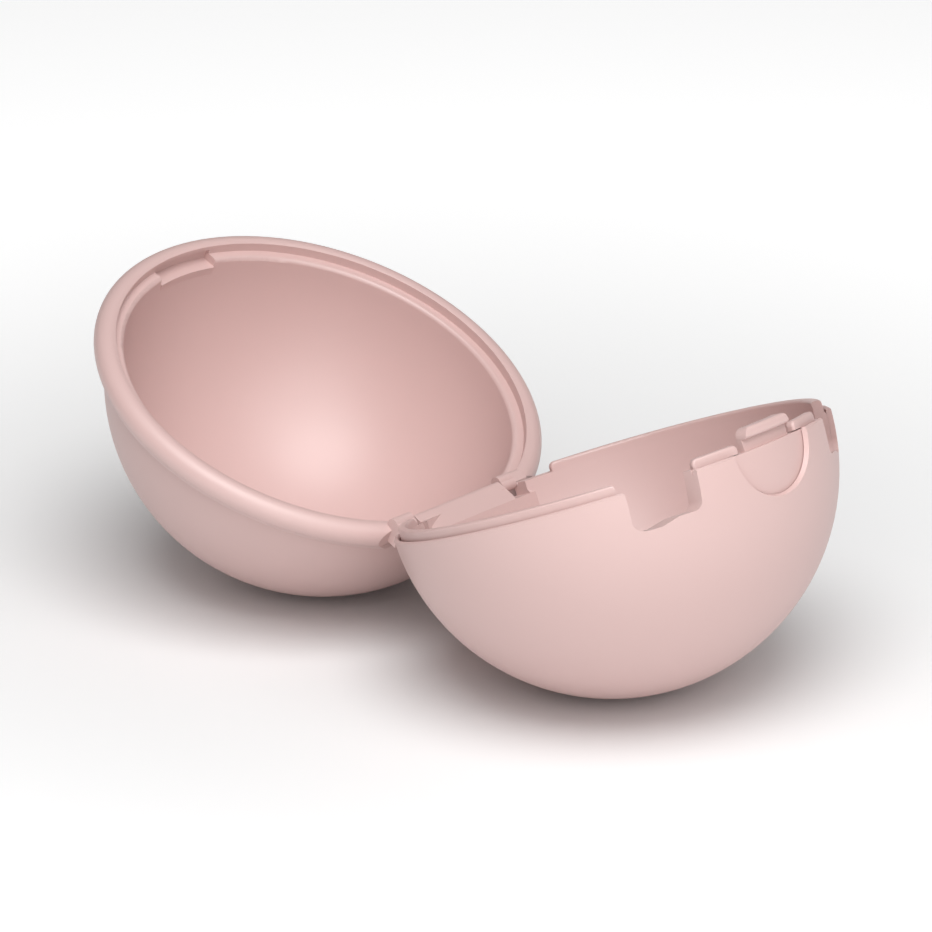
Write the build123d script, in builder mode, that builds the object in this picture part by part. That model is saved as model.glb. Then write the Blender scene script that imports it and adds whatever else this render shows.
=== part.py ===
"""Ball-shaped pacifier sterilizer case: two double-walled half balls, hinged, standing wide open.

Every piece is drawn in the frame of the closed ball: centre of the ball at the origin, joint
plane in XY, hinge on -X, latch on +X, base below and lid above. At the end the lid is swung
open about the hinge pin and the pair is tilted until both half balls touch the floor, Z = 0.
"""
from build123d import *

import os
from math import acos, asin, atan2, cos, degrees, radians, sin, sqrt, tan

# ---- the ball and its double walls (mm, degrees) ----
BALL_RADIUS = 40.0          # outside of both domes
SHELL_WALL = 0.9            # outer domes
AIR_GAP = 0.3               # between dome and liner
LAND_GAP = 0.03             # where the liner's rim land seats in the dome
LAND_DEPTH = 10.0           # height of that land below the rim
LINER_WALL = 1.7            # inner bowls
EDGE_ROUND = 0.3            # small broken or rounded edges

# ---- joint between base and lid ----
RIM_DROP = 0.4              # base dome ends this far below the joint plane
LIP_RISE = 1.25             # base lip stands this far above the joint plane
SEAM_WIDTH = 0.3            # groove between dome edge and lip
SEAM_DEPTH = 0.8
LIP_CLEARANCE = 0.35        # between the lip and the lid's rabbet
LEDGE_CLEARANCE = 0.8       # between the lip's top and the lid's ledge
LEDGE_ROUND = 0.8           # the ledge runs over into the lid's bowl
LIP_CORNER = 1.0            # rounded ends of the lip and tabs
LIP_ROUND = 0.45            # long edges of the lip and tabs

# ---- lip and tab ends, angles from the latch ----
TAB_START = 11.0
TAB_END = 24.8
LIP_START = 45.0
LIP_END = 151.0

# ---- belt bead round the lid's rim ----
BEAD_STAND = 0.2            # ring through the bead's middle, outside the dome
BEAD_RADIUS = 2.4
BEAD_LEVEL = 2.5            # height of the bead's middle
FLANGE_LEVEL = 3.8          # the outer dome's flange closes the bead above this
FLANGE_HEIGHT = 1.05
FLANGE_STAND = 1.5          # the flange's far face stands out from the dome by this
FLANGE_SEAM = 0.05
BEAD_SETBACK = 0.7          # the bead stops this far inboard of the hinge pin

# ---- hinge ----
PIVOT_INSET = 2.0           # pin axis inside the domes' surface
PIVOT_DROP = 0.25           # pin axis below the joint plane
OPENING_ANGLE = 133.0       # lid's travel, up to the stop
STOP_GAP = 0.1              # between the stop faces when wide open
PIN_RADIUS = 0.65
PIN_CLEARANCE = 0.05        # running fit in the barrel
PIN_GRIP = 0.01             # drive fit in the knuckles
PIN_REACH = 3.0             # pin's length inside each knuckle
BARREL_RADIUS = 1.2
BARREL_FRONT = -13.4        # barrel's two ends
BARREL_BACK = 9.1
KNUCKLE_RADIUS = 1.2
KNUCKLE_LOBE = 0.9          # the knuckle is an oval that reaches inboard by this
KNUCKLE_SAG = 0.3           # and down by this
KNUCKLE_GAP = 0.2           # side play
FRONT_NOTCH = 5.0           # widths of the base notches for the lid's arms
BACK_NOTCH = 3.8
NOTCH_DEPTH = 2.3           # below the rim
ARM_TOP = 3.0               # arms run up into the bead as far as this
ARM_REACH = 1.6             # inboard of the pin axis
ARM_LIFT = 0.2              # arms clear the base rim by this, closed
ARM_SPREAD = 4.0            # the back arm runs this far along the bead
SPREAD_REACH = 3.1          # and is this deep there
SPREAD_ROUND = 1.2
LID_RELIEF = 2.1            # lid is cut back by this between its arms

# ---- block that carries the barrel inside the base ----
BLOCK_REACH = 3.8           # flat inner face, inboard of the pin axis
BLOCK_DRAFT = 0.3
BLOCK_DEPTH = 6.0
BLOCK_FOOT = 3.0            # sloping underside

# ---- strap notches, one each side of the latch ----
STRAP_INNER = 16.8          # sides of the notch from the middle plane, at the rim
STRAP_OUTER = 27.6
STRAP_DRAFT = 0.25          # how much the sides lean in on the way down
STRAP_DEPTH = 6.7
STRAP_LOBE = 0.8            # the outer half of the notch is deeper by this
STRAP_SLOPE = 1.2           # half width of the slope between the two floors
STRAP_ROUND = 1.4           # corners of the shallow half
LOBE_ROUND = 2.2            # outer corner of the deep half

# ---- latch button and its hook ----
BUTTON_RADIUS = 9.1         # half-round window in the base
WINDOW_FLARE = 0.55         # the window widens outward by this through the wall
BUTTON_LAP = 0.4            # the button's edge lies behind the window's by this
BUTTON_CLEARANCE = 0.2
BUTTON_RECESS = 1.05        # button's face below the dome
PRESS_ANGLE = 3.0           # button's travel
PRESS_ROOT = 0.9            # flexing root above the button's lowest point
HOOK_HALF = 5.7             # half width of the hook
HOOK_TOP = 3.4
HOOK_BEAD = 1.9             # height of the hook's bead
HOOK_WALL = 1.1             # neck of the hook
HOOK_REACH = 1.3            # bead beyond the neck
HOOK_CORNER = 1.5

# ---- the lid's catch ----
CATCH_PLAY = 0.3            # hook to the groove it snaps into
CATCH_FLOOR = 0.15          # hook's top to the floor of the recess
CATCH_HALF = 7.05           # half width of the recess
SHELF_REACH = 0.35          # the recess's floor stands into the bowl by this
SHELF_WALL = 0.8
SHELF_SETBACK = 0.25        # its ends lie inside the recess's ends by this
SHELF_TOP = 5.2
SHELF_BEVEL = 0.15

# ---- worked out from the above ----
shell_inner = BALL_RADIUS - SHELL_WALL
land_radius = shell_inner - LAND_GAP
liner_outer = shell_inner - AIR_GAP
bowl_radius = liner_outer - LINER_WALL
lip_radius = land_radius - SEAM_WIDTH
rabbet_radius = lip_radius + LIP_CLEARANCE
ledge_level = LIP_RISE + LEDGE_CLEARANCE
land_level = RIM_DROP + LAND_DEPTH
notch_floor = -RIM_DROP - NOTCH_DEPTH
notch_front = BARREL_FRONT - FRONT_NOTCH
notch_back = BARREL_BACK + BACK_NOTCH
button_face = BALL_RADIUS - BUTTON_RECESS
button_radius = BUTTON_RADIUS + BUTTON_LAP
button_top = -RIM_DROP - BUTTON_CLEARANCE
button_low = -RIM_DROP - button_radius - BUTTON_CLEARANCE
press_level = button_low + BUTTON_CLEARANCE + PRESS_ROOT
neck_outer = bowl_radius + HOOK_WALL
hook_outer = neck_outer + HOOK_REACH
hook_low = HOOK_TOP - HOOK_BEAD
groove_radius = hook_outer + CATCH_PLAY
groove_edge = hook_low - CATCH_PLAY
shelf_level = HOOK_TOP + CATCH_FLOOR
shelf_inner = bowl_radius - SHELF_REACH
bead_ring = BALL_RADIUS + BEAD_STAND
pivot_x = PIVOT_INSET - BALL_RADIUS
pivot_z = -PIVOT_DROP
block_face = pivot_x + BLOCK_REACH
drop = pivot_z - notch_floor
touch_angle = acos(BARREL_RADIUS / sqrt(BLOCK_REACH**2 + drop**2)) - atan2(drop, BLOCK_REACH)
barrel_touch = (pivot_x + BARREL_RADIUS * cos(touch_angle), pivot_z + BARREL_RADIUS * sin(touch_angle))
slope = (notch_floor - barrel_touch[1]) / (block_face - barrel_touch[0])
slope_at_rim = block_face - (notch_floor + RIM_DROP) / slope
far = 2 * BALL_RADIUS       # cutters that pass right through


def out(radius, level):
    """Distance from the Z axis of a sphere's surface at a height."""
    return sqrt(radius**2 - level**2)


def meridian(radius, start, end):
    """Arc of a sphere's meridian from one height to another."""
    middle = (asin(start / radius) + asin(end / radius)) / 2
    through = (radius * cos(middle), radius * sin(middle))
    return ThreePointArc((out(radius, start), start), through, (out(radius, end), end))


def across_hinge(level):
    """Plane across the hinge axis at a place along it."""
    return Plane(origin=(pivot_x, level, pivot_z), x_dir=(1, 0, 0), z_dir=(0, -1, 0))


def hinge_rod(radius, start, end):
    """Round bar on the hinge axis."""
    with BuildPart() as rod:
        with BuildSketch(across_hinge(end)):
            Circle(radius)
        extrude(amount=end - start)
    return rod.part


def slab(low, high):
    """Cutter between two corners."""
    with BuildPart() as block:
        with Locations(low):
            Box(high[0] - low[0], high[1] - low[1], high[2] - low[2], align=(Align.MIN,) * 3)
    return block.part


def stop_wedge(up):
    """All that lies behind a half's stop face; up is 1 for the lid and -1 for the base."""
    lean = radians(90 - OPENING_ANGLE / 2)
    foot = pivot_x + STOP_GAP / 2 / cos(lean)
    tip = (foot - far * sin(lean), pivot_z + up * far * cos(lean))
    with BuildPart() as wedge:
        with BuildSketch(Plane.XZ):
            with BuildLine():
                Polyline((foot, pivot_z), tip, (tip[0] - far, tip[1]), (tip[0] - far, pivot_z), close=True)
            make_face()
        extrude(amount=far, both=True)
    return wedge.part


def facing_latch(outline):
    """Extrude an outline drawn on YZ out through the wall on the latch side."""
    with BuildPart() as bar:
        with BuildSketch(Plane.YZ):
            add(outline)
        extrude(amount=far)
    return bar.part


def half_disc(radius, top):
    """Half-round outline of the button, with its flat edge at the top."""
    with BuildSketch() as outline:
        with Locations((0, -RIM_DROP)):
            Circle(radius)
        with Locations((0, top)):
            Rectangle(far, far, align=(Align.CENTER, Align.MIN), mode=Mode.SUBTRACT)
    return outline.sketch


def window_cutter():
    """Cutter for the button's window, whose wall flares outward."""
    edge = out(BALL_RADIUS, BUTTON_RADIUS)
    with BuildPart() as cutter:
        with BuildSketch(Plane.XZ):
            with BuildLine():
                Polyline(
                    (0, -RIM_DROP),
                    (0, -RIM_DROP - BUTTON_RADIUS),
                    (edge - SHELL_WALL, -RIM_DROP - BUTTON_RADIUS),
                    (edge + SHELL_WALL, -RIM_DROP - BUTTON_RADIUS - 2 * WINDOW_FLARE),
                    (far, -RIM_DROP - BUTTON_RADIUS - 2 * WINDOW_FLARE),
                    (far, -RIM_DROP),
                    close=True,
                )
            make_face()
        revolve(axis=Axis((0, 0, -RIM_DROP), (1, 0, 0)))
    return cutter.part


def tongue(half_width, low, high, corner):
    """Upright outline with two rounded top corners."""
    with BuildSketch() as outline:
        with Locations((0, low)):
            Rectangle(2 * half_width, high - low, align=(Align.CENTER, Align.MIN))
        fillet(outline.vertices().sort_by(Axis.Y)[-2:], corner)
    return outline.sketch


def strap_cutter(side):
    """Through cutter for one strap notch, run out along X."""
    floor = -RIM_DROP - STRAP_DEPTH
    middle = (STRAP_INNER + STRAP_OUTER) / 2
    with BuildSketch() as outline:
        with BuildLine():
            Polyline(
                (STRAP_INNER - STRAP_DRAFT, STRAP_DEPTH - RIM_DROP),
                (STRAP_INNER + STRAP_DRAFT, floor),
                (middle - STRAP_SLOPE, floor),
                (middle + STRAP_SLOPE, floor - STRAP_LOBE),
                (STRAP_OUTER - STRAP_DRAFT, floor - STRAP_LOBE),
                (STRAP_OUTER + STRAP_DRAFT, STRAP_DEPTH - RIM_DROP),
                close=True,
            )
        make_face()
        corners = outline.vertices().filter_by(lambda v: v.Y < floor / 2).sort_by(Axis.X)
        fillet(corners[:-1], min(STRAP_ROUND, STRAP_DEPTH / 4))
        fillet(outline.vertices().sort_by(lambda v: v.X - v.Y)[-1], min(LOBE_ROUND, STRAP_DEPTH / 3))
    if side < 0:
        return facing_latch(mirror(outline.sketch, about=Plane.YZ))
    return facing_latch(outline.sketch)


def lip_segment(start, end):
    """Arc of the base lip between two angles, with rounded ends and edges."""
    with BuildPart() as segment:
        with BuildSketch(Plane.XZ.rotated((0, 0, start))):
            with Locations((bowl_rim, -RIM_DROP - SEAM_DEPTH)):
                height = LIP_RISE + RIM_DROP + SEAM_DEPTH
                Rectangle(lip_radius - bowl_rim, height, align=(Align.MIN, Align.MIN))
        revolve(axis=Axis.Z, revolution_arc=end - start)
        top = segment.faces().sort_by(Axis.Z)[-1]
        ends = top.edges().sort_by(SortBy.LENGTH)[:2]
        fillet(ends, LIP_CORNER)
        rounded = segment.faces().sort_by(Axis.Z)[-1]
        long_edges = rounded.edges().sort_by(SortBy.LENGTH)[-2:]
        fillet(long_edges, LIP_ROUND)
    return segment.part


def hinge_block():
    """Solid at the hinge, with a sloping top and a flat inner face below it."""
    with BuildPart() as block:
        with BuildSketch(Plane.XZ):
            with BuildLine():
                Polyline(
                    (-land_radius, -RIM_DROP),
                    (slope_at_rim, -RIM_DROP),
                    (block_face, notch_floor),
                    (block_face + BLOCK_DRAFT, -BLOCK_DEPTH),
                    (-land_radius, -BLOCK_DEPTH - BLOCK_FOOT),
                    close=True,
                )
            make_face()
        extrude(amount=far, both=True)
        Sphere(liner_outer, mode=Mode.INTERSECT)
    return block.part


def hinge_barrel():
    """Barrel on the hinge axis and the sloping web that joins it to the block."""
    with BuildPart() as barrel:
        with BuildSketch(Plane.XZ.offset(-BARREL_BACK)):
            with BuildLine():
                foot = (block_face, notch_floor)
                Polyline((pivot_x, pivot_z), barrel_touch, foot, (pivot_x, notch_floor), close=True)
            make_face()
            with Locations((pivot_x, pivot_z)):
                Circle(BARREL_RADIUS)
        extrude(amount=BARREL_BACK - BARREL_FRONT)
    return barrel.part


def hook():
    """Neck and outward bead of the latch, cut to a tongue with rounded corners."""
    with BuildPart() as shape:
        with BuildSketch(Plane.XZ) as section:
            with BuildLine():
                Polyline(
                    (hook_back, button_top - HOOK_WALL),
                    (neck_outer, button_top - HOOK_WALL),
                    (neck_outer, hook_low),
                    (hook_outer, hook_low),
                    (hook_outer, HOOK_TOP),
                    (hook_back, HOOK_TOP),
                    close=True,
                )
            make_face()
            tips = section.vertices().filter_by(lambda v: v.X > (neck_outer + hook_outer) / 2)
            fillet(tips, min(HOOK_REACH, HOOK_BEAD) * 0.45)
        revolve(axis=Axis.Z)
        outline = tongue(HOOK_HALF, button_top - HOOK_WALL, HOOK_TOP, HOOK_CORNER)
        add(facing_latch(outline), mode=Mode.INTERSECT)
    return shape.part


def bead_out(level):
    """Outer radius of the belt bead at a height."""
    return bead_ring + sqrt(BEAD_RADIUS**2 - (level - BEAD_LEVEL)**2)


def bead_chord():
    """What the belt bead loses on the hinge side, outside the dome."""
    with BuildPart() as trim:
        add(slab((-far, -far, -far), (pivot_x + BEAD_SETBACK, far, FLANGE_LEVEL + 2 * FLANGE_HEIGHT)))
        Sphere(BALL_RADIUS, mode=Mode.SUBTRACT)
    return trim.part


def arm_web(front, back, reach, corner):
    """Web that carries a knuckle on the end of the bead, clear of the stop face."""
    low = ARM_LIFT - RIM_DROP
    lean = (ARM_TOP - low) / tan(radians(OPENING_ANGLE / 2))
    with BuildPart() as web:
        with BuildSketch(Plane.XZ.offset(-back)) as section:
            with BuildLine():
                Polyline(
                    (pivot_x, low),
                    (pivot_x + reach, low),
                    (pivot_x + reach, ARM_TOP),
                    (pivot_x - lean, ARM_TOP),
                    close=True,
                )
            make_face()
            fillet(section.vertices().sort_by(Axis.X)[-2:], corner)
        extrude(amount=back - front)
    return web.part


def hinge_arm(front, back):
    """Oval knuckle on the hinge axis and its web."""
    with BuildPart() as arm:
        add(hinge_rod(KNUCKLE_RADIUS, front, back))
        add(Pos(KNUCKLE_LOBE, 0, -KNUCKLE_SAG) * hinge_rod(KNUCKLE_RADIUS, front, back))
        add(arm_web(front, back, ARM_REACH, EDGE_ROUND))
    return arm.part


def catch_shelf():
    """Floor of the recess for the hook, standing into the lid's bowl."""
    with BuildPart() as shelf:
        with BuildSketch(Plane.XZ) as section:
            with BuildLine():
                Polyline(
                    (shelf_inner, shelf_level),
                    (bowl_radius + SHELF_WALL, shelf_level),
                    (out(bowl_radius, SHELF_TOP) + SHELF_WALL, SHELF_TOP),
                    (out(bowl_radius, SHELF_TOP), SHELF_TOP),
                    close=True,
                )
            make_face()
            chamfer(section.vertices().sort_by(Axis.X)[0], SHELF_BEVEL)
        revolve(axis=Axis.Z)
        half = CATCH_HALF - SHELF_SETBACK
        add(slab((0, -half, 0), (far, half, far)), mode=Mode.INTERSECT)
    return shelf.part


def catch_recess():
    """Room for the hook, open to the bowl, with the groove that its bead snaps into."""
    with BuildPart() as recess:
        with BuildSketch(Plane.XZ):
            with BuildLine():
                Polyline(
                    (shelf_inner - SHELF_REACH, -HOOK_TOP),
                    (rabbet_radius, -HOOK_TOP),
                    (rabbet_radius, groove_edge),
                    (groove_radius, groove_edge),
                    (groove_radius, shelf_level),
                    (shelf_inner - SHELF_REACH, shelf_level),
                    close=True,
                )
            make_face()
        revolve(axis=Axis.Z)
        add(slab((0, -CATCH_HALF, -far), (far, CATCH_HALF, far)), mode=Mode.INTERSECT)
    return recess.part


bowl_rim = out(bowl_radius, RIM_DROP)
hook_back = out(bowl_radius, button_top)
pin_front = BARREL_FRONT - KNUCKLE_GAP - PIN_REACH
pin_back = BARREL_BACK + KNUCKLE_GAP + PIN_REACH

# ---- cutters and pieces of shape that several parts share ----
strap_cutters = [strap_cutter(1), strap_cutter(-1)]
hinge_opening = slab((-far, notch_front, notch_floor), (block_face, notch_back, far))
relief_front = BARREL_FRONT - KNUCKLE_GAP
relief_back = BARREL_BACK + KNUCKLE_GAP
lid_opening = slab((-far, relief_front, -far), (block_face, relief_back, LID_RELIEF))
base_stop = stop_wedge(-1)
lid_stop = stop_wedge(1)
bead_trim = bead_chord()
hook_recess = catch_recess()

# ---- base: outer dome, with its thumb window, strap notches and hinge opening ----
with BuildPart() as base_shell:
    with BuildSketch(Plane.XZ) as section:
        with BuildLine():
            outside = meridian(BALL_RADIUS, -BALL_RADIUS, -RIM_DROP)
            inside = meridian(shell_inner, -RIM_DROP, -shell_inner)
            Line(outside @ 1, inside @ 0)
            Line(inside @ 1, outside @ 0)
        make_face()
        chamfer(section.vertices().sort_by(Axis.Y)[-2:], EDGE_ROUND)
    revolve(axis=Axis.Z)
    add(strap_cutters, mode=Mode.SUBTRACT)
    add(window_cutter(), mode=Mode.SUBTRACT)
    add(hinge_opening, mode=Mode.SUBTRACT)
    add(base_stop, mode=Mode.SUBTRACT)

# ---- base: inner bowl with the lip, tabs and hinge block ----
with BuildPart() as base_liner:
    with BuildSketch(Plane.XZ):
        with BuildLine():
            outside = meridian(liner_outer, -liner_outer, -land_level)
            land = meridian(land_radius, -land_level, -RIM_DROP - SEAM_DEPTH)
            inside = meridian(bowl_radius, -RIM_DROP, -bowl_radius)
            Line(outside @ 1, land @ 0)
            Polyline(land @ 1, (lip_radius, -RIM_DROP - SEAM_DEPTH), (lip_radius, -RIM_DROP), inside @ 0)
            Line(inside @ 1, outside @ 0)
        make_face()
    revolve(axis=Axis.Z)
    for first, last in ((TAB_START, TAB_END), (LIP_START, LIP_END)):
        add(lip_segment(first, last))
        add(lip_segment(-last, -first))
    add(strap_cutters, mode=Mode.SUBTRACT)
    add(facing_latch(half_disc(button_radius + BUTTON_CLEARANCE, -RIM_DROP)), mode=Mode.SUBTRACT)
    add(hinge_block())
    for front, back in ((notch_front, BARREL_FRONT), (BARREL_BACK, notch_back)):
        add(slab((-far, front, notch_floor), (block_face + BLOCK_DRAFT, back, far)), mode=Mode.SUBTRACT)
    add(base_stop, mode=Mode.SUBTRACT)
    add(hinge_barrel())
    add(hinge_rod(PIN_RADIUS + PIN_CLEARANCE, BARREL_FRONT, BARREL_BACK), mode=Mode.SUBTRACT)

# ---- latch button: half-round thumb pad, neck and outward hook in one ----
with BuildPart() as latch_button:
    with BuildSketch(Plane.XZ):
        with BuildLine():
            face = meridian(button_face, button_low, button_top)
            back = meridian(bowl_radius, button_top, button_low)
            Line(face @ 1, back @ 0)
            Line(back @ 1, face @ 0)
        make_face()
    revolve(axis=Axis.Z, revolution_arc=360)
    add(facing_latch(half_disc(button_radius, button_top)), mode=Mode.INTERSECT)
    add(hook())

# ---- hinge pin ----
with BuildPart() as hinge_pin:
    add(hinge_rod(PIN_RADIUS, pin_front, pin_back))
    chamfer(hinge_pin.edges().filter_by(GeomType.CIRCLE), PIN_RADIUS / 4)

# ---- lid: outer dome with the flange that closes the bead ----
with BuildPart() as lid_shell:
    with BuildSketch(Plane.XZ):
        with BuildLine():
            outside = meridian(BALL_RADIUS, FLANGE_LEVEL + FLANGE_HEIGHT, BALL_RADIUS)
            inside = meridian(shell_inner, shell_inner, FLANGE_LEVEL)
            Line(outside @ 1, inside @ 0)
            flange_corner = (bead_out(FLANGE_LEVEL), FLANGE_LEVEL)
            flange_top = (BALL_RADIUS + FLANGE_STAND, FLANGE_LEVEL + FLANGE_HEIGHT)
            Polyline(inside @ 1, flange_corner, flange_top, outside @ 0)
        make_face()
    revolve(axis=Axis.Z)
    add(hook_recess, mode=Mode.SUBTRACT)
    add(bead_trim, mode=Mode.SUBTRACT)
    add(lid_stop, mode=Mode.SUBTRACT)

# ---- lid: inner bowl with the rabbet, bead, hinge arms and catch ----
with BuildPart() as lid_liner:
    seat = FLANGE_LEVEL - FLANGE_SEAM
    rabbet_edge = BEAD_LEVEL - sqrt(BEAD_RADIUS**2 - (bead_ring - rabbet_radius)**2)
    with BuildSketch(Plane.XZ) as section:
        with BuildLine():
            inside = meridian(bowl_radius, ledge_level, bowl_radius)
            Polyline(inside @ 0, (rabbet_radius, ledge_level), (rabbet_radius, rabbet_edge))
            crown = (bead_ring + BEAD_RADIUS, BEAD_LEVEL)
            bead = ThreePointArc((rabbet_radius, rabbet_edge), crown, (bead_out(seat), seat))
            land = meridian(land_radius, seat, land_level)
            outside = meridian(liner_outer, land_level, liner_outer)
            Line(bead @ 1, land @ 0)
            Line(land @ 1, outside @ 0)
            Line(outside @ 1, inside @ 1)
        make_face()
        ledge_edge = (out(bowl_radius, ledge_level), ledge_level)
        fillet(section.vertices().sort_by_distance(ledge_edge)[0], LEDGE_ROUND)
    revolve(axis=Axis.Z)
    add(lid_opening, mode=Mode.SUBTRACT)
    add(bead_trim, mode=Mode.SUBTRACT)
    add(lid_stop, mode=Mode.SUBTRACT)
    add(hinge_arm(notch_front + KNUCKLE_GAP, BARREL_FRONT - KNUCKLE_GAP))
    add(hinge_arm(BARREL_BACK + KNUCKLE_GAP, notch_back - KNUCKLE_GAP))
    add(arm_web(notch_back - KNUCKLE_GAP, notch_back + ARM_SPREAD, SPREAD_REACH, SPREAD_ROUND))
    add(hinge_rod(PIN_RADIUS + PIN_GRIP, pin_front, pin_back), mode=Mode.SUBTRACT)
    add(catch_shelf())
    add(hook_recess, mode=Mode.SUBTRACT)

# ---- open the lid to its stop, tilt the pair level and stand it on the floor ----
swing = Pos(pivot_x, 0, pivot_z) * Rot(0, -OPENING_ANGLE, 0) * Pos(-pivot_x, 0, -pivot_z)
lid_centre = swing.position
tilt = degrees(atan2(lid_centre.Z, -lid_centre.X))
lean_back = Rot(0, -tilt, 0)
base_pieces = {"base_shell": base_shell, "base_liner": base_liner, "latch_button": latch_button}
lid_pieces = {"lid_shell": lid_shell, "lid_liner": lid_liner, "hinge_pin": hinge_pin}
for piece in base_pieces.values():
    piece.part.locate(lean_back)
for piece in lid_pieces.values():
    piece.part.locate(lean_back * swing)
pieces = base_pieces | lid_pieces
box = Compound([piece.part for piece in pieces.values()]).bounding_box()
home = Pos(-box.center().X, -box.center().Y, -box.min.Z)

os.makedirs("parts", exist_ok=True)
for name, piece in pieces.items():
    piece.part.label = name
    piece.part.locate(home * piece.part.location)
    export_step(piece.part, f"parts/{name}.step")
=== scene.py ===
"""Ball-shaped pacifier sterilizer case, lying wide open on a pale surface.

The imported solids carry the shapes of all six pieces. This script gives them their finish,
and adds the studio: floor, soft lights and a long-lens camera on the latch side.
"""

from math import cos, radians, sin

import bmesh
import bpy
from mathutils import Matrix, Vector


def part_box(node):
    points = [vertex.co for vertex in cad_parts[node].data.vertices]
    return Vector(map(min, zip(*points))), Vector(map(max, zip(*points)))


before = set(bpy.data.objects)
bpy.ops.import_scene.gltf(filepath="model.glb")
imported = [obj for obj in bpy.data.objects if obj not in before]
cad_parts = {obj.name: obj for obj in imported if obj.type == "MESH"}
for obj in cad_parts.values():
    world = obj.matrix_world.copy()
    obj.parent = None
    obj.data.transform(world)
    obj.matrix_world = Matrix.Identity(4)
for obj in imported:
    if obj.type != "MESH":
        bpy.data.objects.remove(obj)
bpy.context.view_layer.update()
scene = bpy.context.scene

# ---- camera ----
# A long lens on the latch side of the base, looking down a little, so that both bowls, the
# latch and the hinge show. Its place is measured from the centre of the base's ball.
BALL_RADIUS = 0.040
LENS = 237.2
CAMERA_OFFSET = Vector((0.6568, -0.7598, 0.3911))
CAMERA_TILT = radians(68.763)
CAMERA_TURN = radians(42.295)
NEAREST_SEEN = 0.05
base_centre = Vector((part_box("base_shell")[1].x - BALL_RADIUS, 0, BALL_RADIUS))
camera = bpy.data.objects.new("camera", bpy.data.cameras.new("camera"))
scene.collection.objects.link(camera)
camera.data.lens = LENS
camera.data.clip_start = NEAREST_SEEN
camera.location = base_centre + CAMERA_OFFSET
camera.rotation_euler = (CAMERA_TILT, 0, CAMERA_TURN)
scene.camera = camera


# ---- soft studio light ----
# Three round softboxes on the viewer's side: a wide one to the right, a strong one high up
# and a weak one low down. A dim white room fills the shadows.
def softbox(name, azimuth, elevation, distance, width, power):
    """Round softbox aimed at the case. Azimuth 0 is +X, and -90 is the viewer's left front."""
    turn = radians(azimuth)
    rise = radians(elevation)
    toward = Vector((cos(rise) * cos(turn), cos(rise) * sin(turn), sin(rise)))
    lamp = bpy.data.objects.new(name, bpy.data.lights.new(name, "AREA"))
    scene.collection.objects.link(lamp)
    lamp.data.shape = "DISK"
    lamp.data.size = width
    lamp.data.energy = power
    lamp.location = toward * distance
    lamp.rotation_euler = toward.to_track_quat("Z", "Y").to_euler()


softbox("wide_softbox", azimuth=-30, elevation=50, distance=0.7, width=0.9, power=3.1)
softbox("upper_softbox", azimuth=-48, elevation=68, distance=0.9, width=0.7, power=4.7)
softbox("low_softbox", azimuth=-48, elevation=20, distance=0.9, width=0.7, power=1.0)
ROOM_LIGHT = 0.15
scene.world = bpy.data.worlds.new("studio")
scene.world.use_nodes = True
room = scene.world.node_tree.nodes["Background"]
room.inputs["Color"].default_value = (1, 1, 1, 1)
room.inputs["Strength"].default_value = ROOM_LIGHT
scene.view_settings.view_transform = "Standard"


# ---- outer dome of the base ----
# Moulded shell in dusty pink polypropylene with a fine satin finish, the same plastic as all
# the other moulded pieces. It snaps over the inner bowl, and only its edges are broken.
class Socket:
    """A shader socket that adds, subtracts and multiplies by Math nodes."""

    def __init__(self, shader, socket):
        self.shader = shader
        self.socket = socket

    def math(self, operation, first, second):
        """One Math node on two values or sockets."""
        return self.shader.node("ShaderNodeMath", {"operation": operation}, {0: first, 1: second})["Value"]

    def __add__(self, other):
        return self.math("ADD", self, other)

    __radd__ = __add__

    def __sub__(self, other):
        return self.math("SUBTRACT", self, other)

    def __rsub__(self, other):
        return self.math("SUBTRACT", other, self)

    def __mul__(self, other):
        return self.math("MULTIPLY", self, other)

    __rmul__ = __mul__


MIX_FACTOR = 0
MIX_FIRST = 6
MIX_SECOND = 7


class Shader:
    """A material under construction, on one Principled surface."""

    def __init__(self, name):
        self.material = bpy.data.materials.new(name)
        self.material.use_nodes = True
        self.tree = self.material.node_tree
        self.surface = self.tree.nodes["Principled BSDF"]

    def feed(self, node, sockets):
        """Sets or links a node's inputs."""
        for key, value in sockets.items():
            if isinstance(value, Socket):
                self.tree.links.new(value.socket, node.inputs[key])
            else:
                node.inputs[key].default_value = value

    def node(self, kind, settings=None, sockets=None):
        """Adds a node and hands back its outputs by name."""
        made = self.tree.nodes.new(kind)
        for key, value in (settings or {}).items():
            setattr(made, key, value)
        self.feed(made, sockets or {})
        return {output.identifier: Socket(self, output) for output in made.outputs}

    def blend(self, factor, first, second):
        """One Mix node between two colours, whose inputs go by their places in the node."""
        mixed = self.node("ShaderNodeMix", {"data_type": "RGBA"},
                          {MIX_FACTOR: factor, MIX_FIRST: first, MIX_SECOND: second})
        return mixed["Result_Color"]


PINK = (0.630, 0.437, 0.414, 1)
PINK_CLOUD = (0.650, 0.456, 0.434, 1)
CLOUD_SCALE = 22
CLOUD_DETAIL = 3.0
GRAIN_SCALE = 5200
GRAIN_DETAIL = 2.0
GRAIN_DEPTH = 0.000004
GRAIN_STRENGTH = 0.5
GLOSS_SPREAD = 0.07
PLASTIC_SPECULAR = 0.75
SHELL_ROUGHNESS = 0.46


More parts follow.
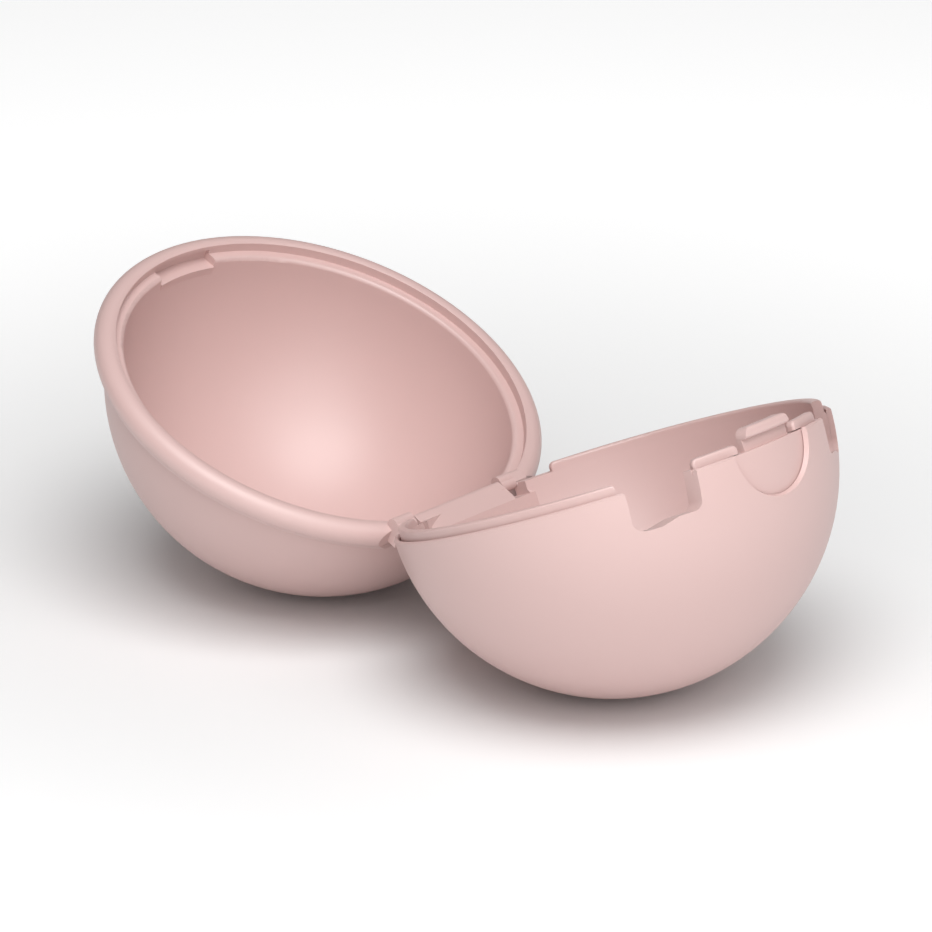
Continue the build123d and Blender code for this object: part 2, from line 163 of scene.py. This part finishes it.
def satin_plastic(name, roughness):
    """Dusty pink moulded plastic: faint clouds of tone and a spark-etched grain."""
    plastic = Shader(name)
    place = plastic.node("ShaderNodeTexCoord")["Object"]
    clouds = plastic.node("ShaderNodeTexNoise", {}, {
        "Vector": place, "Scale": CLOUD_SCALE, "Detail": CLOUD_DETAIL})["Fac"]
    grain = plastic.node("ShaderNodeTexNoise", {}, {
        "Vector": place, "Scale": GRAIN_SCALE, "Detail": GRAIN_DETAIL})["Fac"]
    etched = plastic.node("ShaderNodeBump", {}, {
        "Strength": GRAIN_STRENGTH, "Distance": GRAIN_DEPTH, "Height": grain})["Normal"]
    plastic.feed(plastic.surface, {
        "Base Color": plastic.blend(clouds, PINK, PINK_CLOUD),
        "Roughness": roughness + GLOSS_SPREAD * (grain + clouds - 1),
        "Normal": etched,
        "Specular IOR Level": PLASTIC_SPECULAR,
    })
    return plastic.material


def finish_node(name, material):
    """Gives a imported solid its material."""
    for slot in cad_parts[name].material_slots:
        slot.material = material


finish_node("base_shell", satin_plastic("base_dome_plastic", SHELL_ROUGHNESS))

# ---- inner bowl of the base ----
# Second pink moulding, snapped into the dome. It carries the lip and tabs of the rim, the
# hinge block and the hinge barrel. It is a touch smoother, so that it wipes clean.
BOWL_ROUGHNESS = 0.43
finish_node("base_liner", satin_plastic("base_bowl_plastic", BOWL_ROUGHNESS))

# ---- latch ----
# Half-round thumb pad, neck and hook, moulded in one piece in the same pink plastic. It
# fills the window on the base's front and flexes at the root of the pad.
finish_node("latch_button", satin_plastic("latch_plastic", SHELL_ROUGHNESS))

# ---- outer dome of the lid ----
# Moulded shell in the same pink plastic, snapped over the lid's inner bowl. Its thin flange
# closes the belt bead from outside.
finish_node("lid_shell", satin_plastic("lid_dome_plastic", SHELL_ROUGHNESS))

# ---- inner bowl of the lid ----
# Pink moulding with the belt bead round the rim, the ledge and its catch for the hook, and
# the two hinge arms. It is as smooth as the inner bowl of the base.
finish_node("lid_liner", satin_plastic("lid_bowl_plastic", BOWL_ROUGHNESS))

# ---- hinge pin ----
# Drawn stainless wire, driven into the lid's two knuckles and turning in the barrel of the
# base. Its drawing marks run along it.
STEEL = (0.56, 0.55, 0.54, 1)
STEEL_DARK = (0.47, 0.46, 0.45, 1)
STEEL_ROUGHNESS = 0.28
MARK_ROUGHNESS = 0.2
MARK_SCALE = (9000, 300, 9000)
MARK_DEPTH = 0.000002
steel = Shader("pin_steel")
place = steel.node("ShaderNodeTexCoord")["Object"]
drawn = steel.node("ShaderNodeMapping", {}, {"Vector": place, "Scale": MARK_SCALE})["Vector"]
marks = steel.node("ShaderNodeTexNoise", {}, {"Vector": drawn, "Scale": 1.0})["Fac"]
scored = steel.node("ShaderNodeBump", {}, {"Distance": MARK_DEPTH, "Height": marks})["Normal"]
steel.feed(steel.surface, {
    "Base Color": steel.blend(marks, STEEL, STEEL_DARK),
    "Metallic": 1.0,
    "Roughness": STEEL_ROUGHNESS + MARK_ROUGHNESS * marks,
    "Normal": scored,
})
finish_node("hinge_pin", steel.material)

# ---- floor ----
# Wide sheet of white paper that the case lies on. Its emission is a painted glow, left out close
# to the case and rising away from it, so that it fades to white away from the soft shadow.
FLOOR_HALF = 3
PAPER_WHITE = (0.84, 0.84, 0.84, 1)
PAPER_ROUGHNESS = 0.9
# Colour of the painted glow that the paper gives off away from the case.
PAPER_PAINTED_GLOW = (0.46, 0.46, 0.46, 1)
NO_GLOW = (0, 0, 0, 1)
PAINTED_GLOW_START = 0.02
PAINTED_GLOW_END = 0.30
paper = bmesh.new()
bmesh.ops.create_grid(paper, x_segments=1, y_segments=1, size=FLOOR_HALF)
floor = bpy.data.objects.new("floor", bpy.data.meshes.new("floor"))
paper.to_mesh(floor.data)
paper.free()
scene.collection.objects.link(floor)
white = Shader("white_paper_painted_glow")
place = white.node("ShaderNodeTexCoord")["Object"]
away = white.node("ShaderNodeVectorMath", {"operation": "LENGTH"}, {0: place})["Value"]
# Painted glow: the paper's emission rises with distance from the case, so the floor stays darker near it.
painted_glow = white.node("ShaderNodeMapRange", {"interpolation_type": "SMOOTHSTEP"}, {
    "Value": away, "From Min": PAINTED_GLOW_START, "From Max": PAINTED_GLOW_END})["Result"]
white.feed(white.surface, {
    "Base Color": PAPER_WHITE,
    "Roughness": PAPER_ROUGHNESS,
    "Emission Color": white.blend(painted_glow, NO_GLOW, PAPER_PAINTED_GLOW),
    "Emission Strength": 1.0,
})
floor.data.materials.append(white.material)
